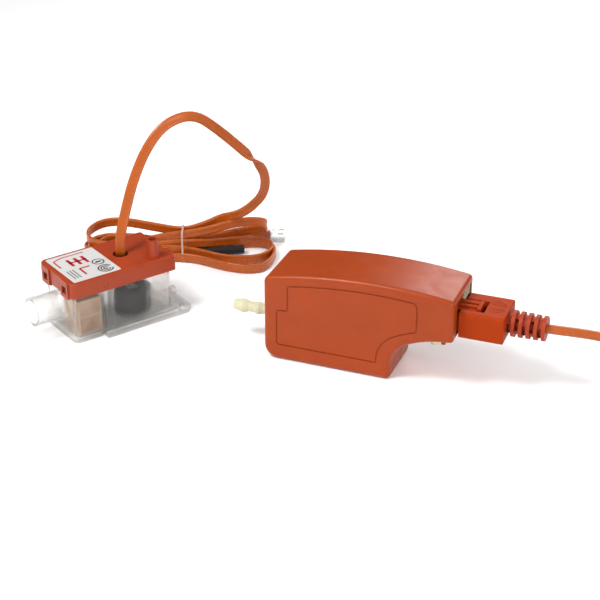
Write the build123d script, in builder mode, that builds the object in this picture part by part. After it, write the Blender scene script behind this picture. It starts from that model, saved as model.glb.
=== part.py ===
"""Condensate pump in two units, joined by a flat sensor cable.

The pump unit stands on its foot, and the clear reservoir stands in front of its inlet end.
Millimetres, +Z up. The origin is the centre of the underside of the pump's foot. The pump's
length runs along X, with its power plug at the +X end and its smooth face at -Y.
"""

import os
from math import cos, pi, radians, sin, tan

from build123d import *

os.makedirs("parts", exist_ok=True)

# ---------------------------------------------------------------- driving dimensions
# pump housing
pump_length = 116.0
pump_depth = 40.0
foot_length = 80.0
left_height = 53.5
crown_height = 61.0
crown_from_left = 68.0
right_height = 57.5
overhang_z = 31.0
wall = 2.2
edge_radius = 2.8
cover_thickness = 2.6
fit_gap = 0.15
groove_width = 0.9
groove_depth = 0.5

# pump inside, on the axis of the inlet
pump_axis_z = 21.0
coil_radius = 13.5
coil_left = -22.0
coil_right = 16.0
frame_thickness = 2.5
cylinder_outer = 4.5
cylinder_inner = 3.5
piston_radius = 3.3
spring_radius = 2.7
spring_wire = 0.45
inlet_barb_length = 27.0
outlet_x = 60.3
outlet_tip_z = 18.8
board_z = 44.0
board_thickness = 1.6

# plug end of the pump
end_opening_width = 30.0
end_opening_height = 21.2
end_opening_z = 43.8
latch_y = 0.0
latch_width = 10.6
latch_z = 46.0

# power plug and lead
plug_y = 2.0
plug_z = 40.0
plug_gap = 1.0
plug_length = 26.0
plug_width = 28.0
plug_height = 16.5
nose_length = 9.0
relief_length = 22.0
rib_count = 5
lead_diameter = 5.5

# reservoir, in its own axes: u along its length, w across it, z up
reservoir_x = -152.4
reservoir_y = -47.6
reservoir_yaw = 57.0
lid_length = 73.0
lid_width = 43.0
lid_top_z = 40.0
lid_skirt = 10.0
lid_wall = 1.8
body_inset = 2.5
body_wall = 1.6
floor_thickness = 1.8
rim_z = 36.4
inlet_axis_z = 18.6
inlet_outer = 9.25
inlet_inner = 7.6
inlet_reach = 20.0
float_u = 49.0
float_w = 18.6
float_radius = 13.0
float_height = 17.0
float_rest_z = 2.6
cable_hole_u = 46.0
cable_hole_w = 22.0
cable_hole_radius = 4.9

# sensor cable, put up as a hank
cable_width = 5.0
hank_x = -142.5
hank_y = 86.0
hank_yaw = 21.0
hank_height = 20.0

left_x = -foot_length / 2
right_x = left_x + pump_length
front_y = -pump_depth / 2
back_y = pump_depth / 2
foot_right_x = foot_length / 2 - 1.5
crown_x = left_x + crown_from_left
plug_left_x = right_x + plug_gap
plug_right_x = plug_left_x + plug_length

made = []


def finished(part, name):
    """Label a sub-part, write it to a file of its own and keep it for the summary."""
    part.label = name
    export_step(part, f"parts/{name}.step")
    made.append(part)


def x_plane(x, y=0.0, z=0.0):
    """A plane across X: its local x runs along Y and its local y along Z."""
    return Plane(origin=(x, y, z), x_dir=(0, 1, 0), z_dir=(1, 0, 0))


def x_axis_profile(y=0.0, z=0.0):
    """A plane for profiles revolved about X: its local x runs along X, its local y up."""
    return Plane(origin=(0, y, z), x_dir=(1, 0, 0), z_dir=(0, -1, 0))


# the reservoir's own axes: local x is u, local y is w
u_axis = (cos(radians(reservoir_yaw)), sin(radians(reservoir_yaw)), 0)
w_axis = (-sin(radians(reservoir_yaw)), cos(radians(reservoir_yaw)), 0)
reservoir = Plane(origin=(reservoir_x, reservoir_y, 0), x_dir=u_axis, z_dir=(0, 0, 1))


def at_reservoir(u, w, z=0.0):
    """A point of the reservoir's own axes, in the model's frame."""
    return reservoir.from_local_coords(Vector(u, w, z))


def across_u(u, w=0.0, z=0.0):
    """A plane across the reservoir's length: its local x runs along w, its local y up."""
    return Plane(origin=at_reservoir(u, w, z), x_dir=w_axis, z_dir=u_axis)


def round_corners(sketch, corners):
    """Fillet the vertices of a sketch that lie nearest to the given points."""
    for point, radius in corners:
        fillet(sketch.vertices().sort_by_distance((*point, 0))[0], radius)


def rounded_cord_path(points):
    """A cord's centreline: straight runs joined by arcs as large as the runs allow."""
    runs = [Vector(*b) - Vector(*a) for a, b in zip(points, points[1:])]
    radii = []
    for before, after in zip(runs, runs[1:]):
        turn = radians(before.get_angle(after))
        radii.append(0.45 * min(before.length, after.length) / tan(turn / 2))
    return FilletPolyline(*points, radius=radii), radii


# ---------------------------------------------------------------- pump housing
face_plane = Plane.XZ.offset(-front_y)
housing_corners = (
    ((left_x, 0), 8.6),
    ((left_x, left_height), 4.5),
    ((right_x, right_height), 3.0),
    ((right_x, overhang_z), 2.2),
    ((foot_right_x, 0), 1.6),
)


def housing_slice(plane, inset=0.0):
    """The pump's side view on a plane, drawn smaller all round by inset.

    It has a crowned top, and a cut-out under the plug end.
    """
    with BuildSketch(plane) as view:
        with BuildLine():
            ThreePointArc((left_x, left_height), (crown_x, crown_height), (right_x, right_height))
            Line((right_x, right_height), (right_x, overhang_z))
            throat = TangentArc((foot_right_x, 8), (49.3, 25), tangent=(0, 1))
            TangentArc(throat @ 1, (right_x, overhang_z), tangent=throat % 1)
            Polyline((foot_right_x, 8), (foot_right_x, 0), (left_x, 0), (left_x, left_height))
        make_face()
        round_corners(view, housing_corners)
        if inset:
            offset(amount=-inset, mode=Mode.REPLACE)
    return view.sketch


screw_places = ((-32.5, 8.5), (-32.5, 46.0), (30.5, 8.5), (59.5, 52.5))
boss_radius = 2.8
cover_rebate = 1.1
cover_inner_y = back_y - cover_thickness

with BuildPart() as pump_housing:
    extrude(housing_slice(face_plane), amount=-pump_depth)
    fillet(pump_housing.faces().sort_by(Axis.Y)[0].edges(), edge_radius)
    fillet(pump_housing.faces().sort_by(Axis.Y)[-1].edges(), 0.8)
    # moulded panel line on the smooth face, with a step at its inlet end
    with BuildSketch(face_plane) as panel:
        with BuildLine():
            Polyline((-25, 50.4), (-25, 34), (-32, 34), (-32, 10), (31, 10), (31, 12))
            throat_line = TangentArc((31, 12), (42.5, 29.9), tangent=(0, 1))
            TangentArc(throat_line @ 1, (55, 34.8), tangent=throat_line % 1)
            Line((55, 34.8), (55, 53.6))
            ThreePointArc((55, 53.6), (18, 54.8), (-25, 50.4))
        make_face()
        round_corners(
            panel,
            (
                ((-25, 50.4), 3.0),
                ((-25, 34), 1.9),
                ((-32, 34), 2.5),
                ((-32, 10), 2.0),
                ((31, 10), 1.0),
                ((55, 34.8), 3.2),
                ((55, 53.6), 4.0),
            ),
        )
        offset(amount=-groove_width, mode=Mode.SUBTRACT)
    extrude(amount=-groove_depth, mode=Mode.SUBTRACT)
    # hollow, open at the back, with a rebate for the back cover
    cavity = housing_slice(face_plane.offset(-wall), wall)
    extrude(cavity, amount=-pump_depth, mode=Mode.SUBTRACT)
    rebate = housing_slice(Plane.XZ.offset(-cover_inner_y), cover_rebate)
    extrude(rebate, amount=-cover_thickness - 1, mode=Mode.SUBTRACT)
    # screw posts, from the face to the cover
    with BuildSketch(face_plane.offset(-wall)):
        with Locations(*screw_places):
            Circle(boss_radius)
    extrude(amount=-(cover_inner_y - front_y - wall))
    with BuildSketch(Plane.XZ.offset(-cover_inner_y)):
        with Locations(*screw_places):
            Circle(1.25)
    extrude(amount=14, mode=Mode.SUBTRACT)
    # ledge that carries the control board
    with Locations((4, front_y + wall + 2.4, board_z - 1.2)):
        Box(60, 5, 2.4)
    # inlet hole, outlet hole and the opening of the plug end
    with BuildSketch(x_plane(left_x - 1, 0, pump_axis_z)):
        Circle(4.7)
    extrude(amount=wall + 2, mode=Mode.SUBTRACT)
    with BuildSketch(Plane.XY.offset(overhang_z - 5)):
        with Locations((outlet_x, 0)):
            Circle(4.7)
    extrude(amount=8, mode=Mode.SUBTRACT)
    with BuildSketch(x_plane(right_x - wall - 0.5, plug_y, end_opening_z)):
        Rectangle(end_opening_width, end_opening_height)
    extrude(amount=wall + 1, mode=Mode.SUBTRACT)
    # fin beside the outlet, under the overhang
    with BuildSketch(Plane.XZ.offset(2.5)):
        with Locations((66.0, 26.0)):
            Rectangle(2.4, 11.6)
    extrude(amount=-5)
finished(pump_housing.part, "pump_housing")

with BuildPart() as pump_back_cover:
    cover_view = housing_slice(Plane.XZ.offset(-cover_inner_y), cover_rebate + fit_gap)
    extrude(cover_view, amount=-cover_thickness)
    chamfer(pump_back_cover.faces().sort_by(Axis.Y)[-1].edges(), 0.3)
    with BuildSketch(Plane.XZ.offset(-back_y)):
        with Locations(*screw_places):
            Circle(1.6)
    extrude(amount=cover_thickness, mode=Mode.SUBTRACT)
    with BuildSketch(Plane.XZ.offset(-back_y)):
        with Locations(*screw_places):
            Circle(3.0)
    extrude(amount=1.3, mode=Mode.SUBTRACT)
    with Locations((4, cover_inner_y - 2.4, board_z - 1.2)):
        Box(60, 4.8, 2.4)
finished(pump_back_cover.part, "pump_back_cover")

with BuildPart() as housing_screws:
    with BuildSketch(Plane.XZ.offset(-back_y + 0.1)):
        with Locations(*screw_places):
            Circle(2.8)
    extrude(amount=1.2)
    with BuildSketch(Plane.XZ.offset(-back_y + 0.1)):
        with Locations(*screw_places):
            Circle(1.25)
    extrude(amount=12)
    with BuildSketch(Plane.XZ.offset(-back_y)):
        with Locations(*screw_places):
            Rectangle(3.2, 0.6)
            Rectangle(0.6, 3.2)
    extrude(amount=0.7, mode=Mode.SUBTRACT)
finished(housing_screws.part, "housing_screws")

# ---------------------------------------------------------------- solenoid pump inside
cylinder_left = -31.0
cylinder_right = 24.0
frame_left = coil_left - frame_thickness
frame_right = coil_right + frame_thickness
frame_bottom = pump_axis_z - coil_radius - frame_thickness - 0.5
frame_top = pump_axis_z + coil_radius + frame_thickness + 0.5
frame_width = 22.0


def barb_section(plane, tip, along, bore, stem, crest, reach):
    """Half section of a barbed spigot with two crests, for a revolve about the plane's x.

    tip is the free end's x, along is +1 or -1, the way from the tip to the root, and reach
    is the spigot's whole length.
    """
    steps = (
        (0.0, bore + 0.9),
        (5.6, crest),
        (6.6, crest),
        (10.0, stem + 0.1),
        (13.2, stem + 0.2),
        (15.8, crest - 0.4),
        (16.6, crest - 0.4),
        (min(19.4, reach - 0.1), stem),
        (reach, stem),
    )
    with BuildSketch(plane) as section:
        with BuildLine():
            outline = [(tip + along * d, r) for d, r in steps if d <= reach]
            Polyline((tip, bore), *outline, (tip + along * reach, bore), close=True)
        make_face()
    return section.sketch


inlet_tip_x = left_x - inlet_barb_length
with BuildPart() as pump_inlet_barb:
    pump_axis = Axis((0, 0, pump_axis_z), (1, 0, 0))
    pump_section = x_axis_profile(z=pump_axis_z)
    revolve(barb_section(pump_section, inlet_tip_x, 1, 2.0, 3.05, 4.3, 34), axis=pump_axis)
    # head plate that closes the cylinder
    with BuildSketch(x_plane(cylinder_left - 2, 0, pump_axis_z)):
        Circle(8)
        Circle(2.0, mode=Mode.SUBTRACT)
    extrude(amount=2)
finished(pump_inlet_barb.part, "pump_inlet_barb")

with BuildPart() as pump_cylinder:
    with BuildSketch(x_plane(cylinder_left, 0, pump_axis_z)):
        Circle(cylinder_outer)
        Circle(cylinder_inner, mode=Mode.SUBTRACT)
    extrude(amount=cylinder_right - cylinder_left)
finished(pump_cylinder.part, "pump_cylinder")

with BuildPart() as core_frame:
    with BuildSketch(Plane.XZ.offset(frame_width / 2)):
        frame_center = ((frame_left + frame_right) / 2, (frame_bottom + frame_top) / 2)
        with Locations(frame_center):
            Rectangle(frame_right - frame_left, frame_top - frame_bottom)
            Rectangle(
                coil_right - coil_left,
                frame_top - frame_bottom - 2 * frame_thickness,
                mode=Mode.SUBTRACT,
            )
    extrude(amount=-frame_width)
    with BuildSketch(x_plane(frame_left - 1, 0, pump_axis_z)):
        Circle(cylinder_outer + 0.1)
    extrude(amount=frame_right - frame_left + 2, mode=Mode.SUBTRACT)
finished(core_frame.part, "core_frame")

with BuildPart() as coil_bobbin:
    with BuildSketch(x_plane(coil_left, 0, pump_axis_z)):
        Circle(coil_radius)
    extrude(amount=1.2)
    with BuildSketch(x_plane(coil_right - 1.2, 0, pump_axis_z)):
        Circle(coil_radius)
    extrude(amount=1.2)
    with BuildSketch(x_plane(coil_left, 0, pump_axis_z)):
        Circle(cylinder_outer + 1.2)
    extrude(amount=coil_right - coil_left)
    with BuildSketch(x_plane(coil_left, 0, pump_axis_z)):
        Circle(cylinder_outer + 0.1)
    extrude(amount=coil_right - coil_left, mode=Mode.SUBTRACT)
finished(coil_bobbin.part, "coil_bobbin")

with BuildPart() as solenoid_coil:
    with BuildSketch(x_plane(coil_left + 1.2, 0, pump_axis_z)):
        Circle(coil_radius - 1.0)
        Circle(cylinder_outer + 1.2, mode=Mode.SUBTRACT)
    extrude(amount=coil_right - coil_left - 2.4)
finished(solenoid_coil.part, "solenoid_coil")

with BuildPart() as rubber_mounts:
    with BuildSketch(Plane.XY.offset(wall)):
        with Locations((frame_left + 7, 0), (frame_right - 7, 0)):
            Rectangle(8, 16)
    extrude(amount=frame_bottom - wall)
finished(rubber_mounts.part, "rubber_mounts")

piston_left = -12.0
piston_right = 10.0
valve_seat_x = 7.0
with BuildPart() as piston:
    with BuildSketch(x_plane(piston_left, 0, pump_axis_z)):
        Circle(piston_radius)
    extrude(amount=piston_right - piston_left)
    with BuildSketch(x_plane(piston_left, 0, pump_axis_z)):
        Circle(1.2)
    extrude(amount=piston_right - piston_left, mode=Mode.SUBTRACT)
    with BuildSketch(x_plane(valve_seat_x, 0, pump_axis_z)):
        Circle(1.9)
    extrude(amount=piston_right - valve_seat_x, mode=Mode.SUBTRACT)
finished(piston.part, "piston")


def pressure_spring(left, right, turns):
    """A helical spring about the pump's axis, between two x positions."""
    pitch = (right - left - spring_wire * 2) / turns
    with BuildPart() as spring:
        with BuildLine() as coil_line:
            Helix(
                pitch=pitch,
                height=pitch * turns,
                radius=spring_radius,
                center=(left + spring_wire, 0, pump_axis_z),
                direction=(1, 0, 0),
            )
        with BuildSketch(Plane(origin=coil_line.line @ 0, z_dir=coil_line.line % 0)):
            RegularPolygon(spring_wire, 6)
        sweep(path=coil_line.line, is_frenet=True)
    return spring.part


finished(pressure_spring(cylinder_left, piston_left, 5), "return_spring")
finished(pressure_spring(piston_right, cylinder_right, 4), "damping_spring")

with BuildPart() as piston_valve:
    with Locations((valve_seat_x + 1.55, 0, pump_axis_z)):
        Sphere(1.5)
finished(piston_valve.part, "piston_valve")

outlet_head_right = 33.0
riser_x = 29.0
chamber_left = 26.0
chamber_right = 31.0
with BuildPart() as outlet_head:
    with BuildSketch(x_plane(cylinder_right, 0, pump_axis_z)):
        Circle(6.5)
    extrude(amount=outlet_head_right - cylinder_right)
    with BuildSketch(Plane.XY.offset(pump_axis_z)):
        with Locations((riser_x, 0)):
            Circle(2.0)
    extrude(amount=11)
    with BuildSketch(x_plane(cylinder_right, 0, pump_axis_z)):
        Circle(1.3)
    extrude(amount=3, mode=Mode.SUBTRACT)
    with BuildSketch(x_plane(chamber_left, 0, pump_axis_z)):
        Circle(2.6)
    extrude(amount=chamber_right - chamber_left, mode=Mode.SUBTRACT)
    with BuildSketch(Plane.XY.offset(pump_axis_z)):
        with Locations((riser_x, 0)):
            Circle(1.2)
    extrude(amount=11, mode=Mode.SUBTRACT)
finished(outlet_head.part, "outlet_head")

with BuildPart() as outlet_valve:
    with Locations((chamber_left + 2.05, 0, pump_axis_z)):
        Sphere(2.0)
finished(outlet_valve.part, "outlet_valve")

outlet_root_z = 36.0
hose_z = 39.4
with BuildPart() as outlet_hose:
    with BuildLine() as hose_line:
        FilletPolyline(
            (riser_x, 0, pump_axis_z + 7.5),
            (riser_x, 0, hose_z),
            (outlet_x, 0, hose_z),
            (outlet_x, 0, outlet_root_z - 2),
            radius=4.2,
        )
    with BuildSketch(Plane(origin=hose_line.line @ 0, z_dir=(0, 0, 1))):
        Circle(3.1)
        Circle(2.1, mode=Mode.SUBTRACT)
    sweep(path=hose_line.line)
finished(outlet_hose.part, "outlet_hose")

with BuildPart() as pump_outlet_barb:
    outlet_plane = Plane(origin=(outlet_x, 0, 0), x_dir=(0, 0, 1), z_dir=(0, 1, 0))
    outlet_axis = Axis((outlet_x, 0, 0), (0, 0, 1))
    barb_reach = overhang_z + wall - outlet_tip_z
    outlet_section = barb_section(outlet_plane, outlet_tip_z, 1, 1.3, 2.5, 3.4, barb_reach + 0.8)
    revolve(outlet_section, axis=outlet_axis)
    # flange seated on the housing's floor, and the tail that the hose grips
    with BuildSketch(Plane.XY.offset(overhang_z + wall - 0.2)):
        with Locations((outlet_x, 0)):
            Circle(3.9)
            Circle(1.3, mode=Mode.SUBTRACT)
    extrude(amount=0.9)
    with BuildSketch(Plane.XY.offset(overhang_z + wall)):
        with Locations((outlet_x, 0)):
            Circle(2.0)
            Circle(1.3, mode=Mode.SUBTRACT)
    extrude(amount=1.9)
finished(pump_outlet_barb.part, "pump_outlet_barb")

board_left = -25.0
board_right = 50.0
with BuildPart() as control_board:
    with BuildSketch(Plane.XY.offset(board_z)):
        with Locations(((board_left + board_right) / 2, -0.25)):
            Rectangle(board_right - board_left, 27.5)
    extrude(amount=board_thickness)
finished(control_board.part, "control_board")

board_top = board_z + board_thickness
with BuildPart() as board_components:
    # relay, driver block, terminal block
    for x, y, long, deep, high in ((-14, 4, 16, 12, 6.5), (10, 6, 9, 7, 4), (42, 0, 9, 22, 6)):
        with BuildSketch(Plane.XY.offset(board_top)):
            with Locations((x, y)):
                Rectangle(long, deep)
        extrude(amount=high)
    # capacitor and varistor
    for x, y, radius, high in ((4, -7, 4.0, 8), (24, -6, 3.4, 3)):
        with BuildSketch(Plane.XY.offset(board_top)):
            with Locations((x, y)):
                Circle(radius)
        extrude(amount=high)
finished(board_components.part, "board_components")

# ---------------------------------------------------------------- plug end of the pump
socket_left = 64.6
socket_front = 74.6
nose_z = 39.6
nose_width = 24.0
nose_height = 10.0
nose_gap = 0.3
pin_left = 62.6
pin_right = 73.4
pin_places = [(plug_y + step, nose_z) for step in (-7, 0, 7)]
opening_bottom = end_opening_z - end_opening_height / 2 + fit_gap
sensor_y = 11.2
sensor_z = 50.8
sensor_width = 11.2
sensor_height = 6.6

with BuildPart() as power_socket:
    with BuildSketch(x_plane(socket_left, plug_y, (opening_bottom + latch_z) / 2)):
        Rectangle(end_opening_width - 2 * fit_gap, latch_z - opening_bottom)
    extrude(amount=socket_front - socket_left)
    # end panel over the whole opening, with windows for the latch and the sensor socket
    with BuildSketch(x_plane(socket_front - 1.8, plug_y, end_opening_z)):
        Rectangle(end_opening_width - 2 * fit_gap, end_opening_height - 2 * fit_gap)
        with Locations((latch_y - plug_y, latch_z + 2.1 - end_opening_z)):
            Rectangle(latch_width + 0.8, 4.2, mode=Mode.SUBTRACT)
        with Locations((sensor_y - plug_y, sensor_z - end_opening_z)):
            Rectangle(sensor_width + 0.2, sensor_height + 0.2, mode=Mode.SUBTRACT)
    extrude(amount=1.8)
    with BuildSketch(x_plane(socket_left + 2, plug_y, nose_z)) as cavity_view:
        Rectangle(nose_width + 2 * nose_gap, nose_height + 2 * nose_gap)
        fillet(cavity_view.vertices(), 1.5)
    extrude(amount=socket_front - socket_left, mode=Mode.SUBTRACT)
    with BuildSketch(x_plane(socket_left)):
        with Locations(*pin_places):
            Rectangle(0.8, 4)
    extrude(amount=2, mode=Mode.SUBTRACT)
    # saddle under the sensor socket
    with BuildSketch(x_plane(socket_left, sensor_y, (latch_z + sensor_z - sensor_height / 2) / 2)):
        Rectangle(sensor_width, sensor_z - sensor_height / 2 - latch_z)
    extrude(amount=socket_front - socket_left)
finished(power_socket.part, "power_socket")

with BuildPart() as socket_pins:
    with BuildSketch(x_plane(pin_left)):
        with Locations(*pin_places):
            Rectangle(0.8, 4)
    extrude(amount=pin_right - pin_left)
finished(socket_pins.part, "socket_pins")

with BuildPart() as sensor_socket:
    with BuildSketch(x_plane(63.4, sensor_y, sensor_z)):
        Rectangle(sensor_width, sensor_height)
    extrude(amount=11.9)
    with BuildSketch(x_plane(65, sensor_y, sensor_z)):
        Rectangle(9.8, 5.2)
        with Locations((0, -2.8)):
            Rectangle(4, 0.8)
    extrude(amount=12, mode=Mode.SUBTRACT)
finished(sensor_socket.part, "sensor_socket")

latch_root_x = 71.0
latch_tip_x = 87.6
with BuildPart() as latch_clip:
    # root block on the socket, two long ribs with a web between them, and the thumb bar
    with Locations((latch_root_x + 1, latch_y, latch_z + 1.3)):
        Box(2, latch_width, 2.6)
    tongue_length = latch_tip_x - latch_root_x
    with Locations((latch_root_x + tongue_length / 2, latch_y, latch_z + 0.9)):
        Box(tongue_length, latch_width, 1.0)
    for rib_y, rib_width in ((latch_width / 2 - 1.7, 3.4), (-1.6, 2.2)):
        with Locations((latch_root_x + tongue_length / 2, latch_y + rib_y, latch_z + 1.5)):
            Box(tongue_length, rib_width, 2.2)
    with Locations((latch_tip_x - 1.1, latch_y, latch_z + 1.7)):
        Box(2.2, latch_width, 2.6)
    thumb_edges = latch_clip.edges().filter_by(Axis.Y).group_by(Axis.X)[-1]
    fillet(thumb_edges.sort_by(Axis.Z)[-1], 0.6)
finished(latch_clip.part, "latch_clip")

# ---------------------------------------------------------------- power plug and its lead
window_left = plug_left_x
window_right = plug_left_x + 13.2
window_floor = 45.5
window_width = 14.4
plug_top = plug_z + plug_height / 2
with BuildPart() as plug_shell:
    with BuildSketch(x_plane(plug_left_x, plug_y, plug_z)) as plug_view:
        Rectangle(plug_width, plug_height)
        fillet(plug_view.vertices(), 1.8)
    extrude(amount=plug_length)
    fillet(plug_shell.faces().sort_by(Axis.X)[-1].edges(), 0.8)
    # notch for the latch, open towards the pump, with a deep end for the fingertip
    with BuildSketch(Plane.XY.offset(plug_top)):
        with Locations(((window_left + window_right) / 2, latch_y)):
            Rectangle(window_right - window_left, window_width)
    extrude(amount=-(plug_top - window_floor), mode=Mode.SUBTRACT)
    with BuildSketch(Plane.XY.offset(plug_top)):
        with Locations((window_right - 1.5, latch_y)):
            Rectangle(3, window_width - 2)
    extrude(amount=-(plug_top - window_floor + 3), mode=Mode.SUBTRACT)
    # nose with one slot for each contact
    with BuildSketch(x_plane(plug_left_x, plug_y, nose_z)) as nose_view:
        Rectangle(nose_width, nose_height)
        fillet(nose_view.vertices(), 1.4)
    extrude(amount=-nose_length)
    with BuildSketch(x_plane(plug_left_x - nose_length)):
        with Locations(*pin_places):
            Rectangle(2.0, 5.4)
    extrude(amount=11, mode=Mode.SUBTRACT)
    # lead hole
    with BuildSketch(x_plane(plug_right_x, plug_y, plug_z)):
        Circle(lead_diameter / 2)
    extrude(amount=-6, mode=Mode.SUBTRACT)
    # grip grooves that fan out from the lead
    with BuildSketch(Plane.XY.offset(plug_top)):
        with Locations((plug_right_x + 3, plug_y)):
            for angle in (-34, -24, -14, 14, 24, 34):
                with Locations(Location((0, 0), 180 + angle)):
                    with Locations((10.5, 0)):
                        Rectangle(9, 0.45)
    extrude(amount=-0.35, mode=Mode.SUBTRACT)
finished(plug_shell.part, "plug_shell")

with BuildPart() as plug_contacts:
    with BuildSketch(x_plane(plug_left_x - nose_length + 1)):
        with Locations(*pin_places):
            Rectangle(2.0, 5.4)
            Rectangle(1.0, 4.4, mode=Mode.SUBTRACT)
    extrude(amount=10)
finished(plug_contacts.part, "plug_contacts")

rib_pitch = relief_length / rib_count
rib_thickness = 2.1
relief_end_x = plug_right_x + relief_length
with BuildPart() as plug_strain_relief:
    sleeve_radius = 5.9
    with BuildSketch(x_plane(plug_right_x, plug_y, plug_z)):
        Circle(sleeve_radius)
    extrude(amount=relief_length)
    for rib in range(rib_count):
        rib_left = plug_right_x + (rib + 1) * rib_pitch - rib_thickness
        with BuildSketch(x_plane(rib_left, plug_y, plug_z)):
            Circle(7.8 - 0.12 * rib)
        extrude(amount=rib_thickness)
    # a slot through the sleeve in each gap, high and low by turns
    for gap in range(rib_count):
        gap_x = plug_right_x + gap * rib_pitch + (rib_pitch - rib_thickness) / 2
        rise = 1.5 if gap % 2 else -1.5
        with Locations((gap_x, plug_y, plug_z + rise)):
            Box(rib_pitch - rib_thickness, 2 * sleeve_radius, 6.6, mode=Mode.SUBTRACT)
    with BuildSketch(x_plane(plug_right_x, plug_y, plug_z)):
        Circle(lead_diameter / 2 + 0.7)
    extrude(amount=relief_length)
    with BuildSketch(x_plane(plug_right_x, plug_y, plug_z)):
        Circle(lead_diameter / 2)
    extrude(amount=relief_length, mode=Mode.SUBTRACT)
finished(plug_strain_relief.part, "plug_strain_relief")

lead_route = (
    (plug_right_x - 6, plug_y, plug_z),
    (relief_end_x + 1, plug_y, plug_z),
    (142.0, 2.1, 39.8),
    (156.0, 3.2, 37.4),
    (170.0, 5.4, 31.2),
    (183.0, 8.2, 22.4),
    (196.0, 10.8, 13.8),
    (208.0, 11.6, 8.2),
)


def cord_tube(points, diameter):
    """A plain round tube along a cord's route, with its arc radii and its length."""
    with BuildPart() as tube:
        with BuildLine() as line:
            radii = rounded_cord_path(points)[1]
        with BuildSketch(Plane(origin=line.line @ 0, z_dir=line.line % 0)):
            Circle(diameter / 2)
        sweep(path=line.line)
    section = pi * diameter**2 / 4
    length = sum(edge.length for edge in line.line.edges())
    print("radii", [round(r) for r in radii], "length", round(length, 1))
    print("volume over section times length", round(tube.part.volume / section / length, 4))
    return tube.part


finished(cord_tube(lead_route, lead_diameter), "power_lead")

lead_coil_x = 216.0
lead_coil_y = -27.0
lead_coil_outer = 41.0
lead_coil_inner = 19.0
lead_coil_height = 11.6
tie_thickness = 0.6
with BuildPart() as power_lead_coil:
    with BuildSketch(Plane.XY.offset(tie_thickness)):
        with Locations((lead_coil_x, lead_coil_y)):
            Circle(lead_coil_outer)
            Circle(lead_coil_inner, mode=Mode.SUBTRACT)
    extrude(amount=lead_coil_height)
    fillet(power_lead_coil.edges().filter_by(GeomType.CIRCLE), 2.4)
finished(power_lead_coil.part, "power_lead_coil")


def strap(plane, width, height, length):
    """A thin closed band round a rectangle, standing across the plane's local x."""
    with BuildPart() as band:
        with BuildSketch(plane):
            Rectangle(width + 2 * tie_thickness, height + 2 * tie_thickness)
            Rectangle(width, height, mode=Mode.SUBTRACT)
        extrude(amount=length / 2, both=True)
    return band.part


coil_middle_z = tie_thickness + lead_coil_height / 2
coil_ring_middle = (lead_coil_outer + lead_coil_inner) / 2
tie_plane = Plane(
    origin=(lead_coil_x, lead_coil_y - coil_ring_middle, coil_middle_z),
    x_dir=(0, 1, 0),
    z_dir=(1, 0, 0),
)
finished(strap(tie_plane, 22.6, lead_coil_height, 4), "lead_tie")

with BuildPart() as lead_wires:
    # three bare cores that fan out from the sheath's end
    core_start_y = lead_coil_y - 8
    for fan in (-1, 0, 1):
        start = Vector(lead_coil_x + 36.5 + 1.5 * fan, core_start_y, 3.4)
        end = start + Vector(3.5 * fan, -26, 0)
        with BuildSketch(Plane(origin=start, z_dir=end - start)):
            Circle(0.9)
        extrude(amount=(end - start).length)
finished(lead_wires.part, "lead_wires")

# ---------------------------------------------------------------- reservoir
body_length = lid_length - 2 * body_inset
body_width = lid_width - 2 * body_inset
middle_u = lid_length / 2
middle_w = lid_width / 2
flange_z = 1.1
flange_top = 2.5
bracket_left_u = 20.0
left_wall_u = body_inset
right_wall_u = lid_length - body_inset
spigot_w = 14.0
spigot_z = 8.2
spigot_reach = 9.1
spigot_tip_u = right_wall_u + spigot_reach - 0.6
partition_u = 23.5
clip_places = (9.5, 33.5)


def body_plan(plane, inset=0.0):
    """The reservoir body's plan on a plane, drawn smaller all round by inset."""
    with BuildSketch(plane) as plan:
        with Locations((middle_u, middle_w)):
            Rectangle(body_length - 2 * inset, body_width - 2 * inset)
        fillet(plan.vertices().group_by(Axis.X)[0], 3.2 - inset)
        fillet(plan.vertices().group_by(Axis.X)[-1], 2.0 - inset)
    return plan.sketch


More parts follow.
